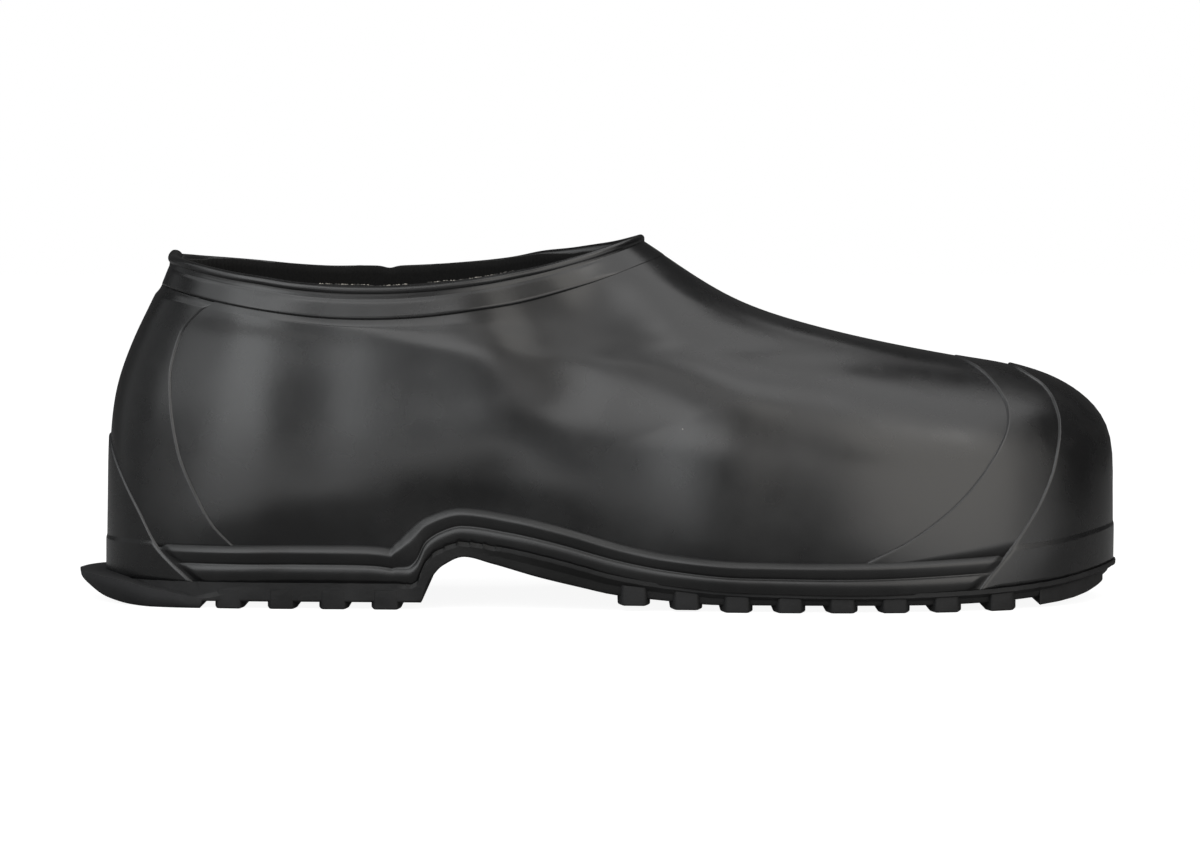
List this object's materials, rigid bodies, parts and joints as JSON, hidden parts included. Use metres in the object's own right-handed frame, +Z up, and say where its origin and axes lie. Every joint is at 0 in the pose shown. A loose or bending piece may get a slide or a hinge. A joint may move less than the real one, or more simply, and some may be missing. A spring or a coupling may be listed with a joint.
{
  "type": "rubber overshoe",
  "caption": "Low black rubber overshoe with a lugged sole, stepped heel, ribbed side strip, layered toe cap and heel guard, and a beaded collar band.",
  "frame": {"origin": "middle of the overall box, on the floor under the sole", "axes": "+X from heel to toe, +Y towards the inner side of the foot, +Z up from the floor"},
  "size_m": [0.323, 0.1147, 0.1133],
  "materials": {
    "upper_rubber": "smooth semi-gloss black",
    "sole_rubber": "matte black"
  },
  "bodies": {
    "root": {"outsole": "sole_rubber", "upper": "upper_rubber", "foxing_outer": "upper_rubber", "foxing_inner": "upper_rubber", "heel_guard": "upper_rubber", "heel_counter": "upper_rubber", "toe_cap": "upper_rubber", "toe_panel": "upper_rubber", "collar_band": "upper_rubber"}
  },
  "joints": []
}
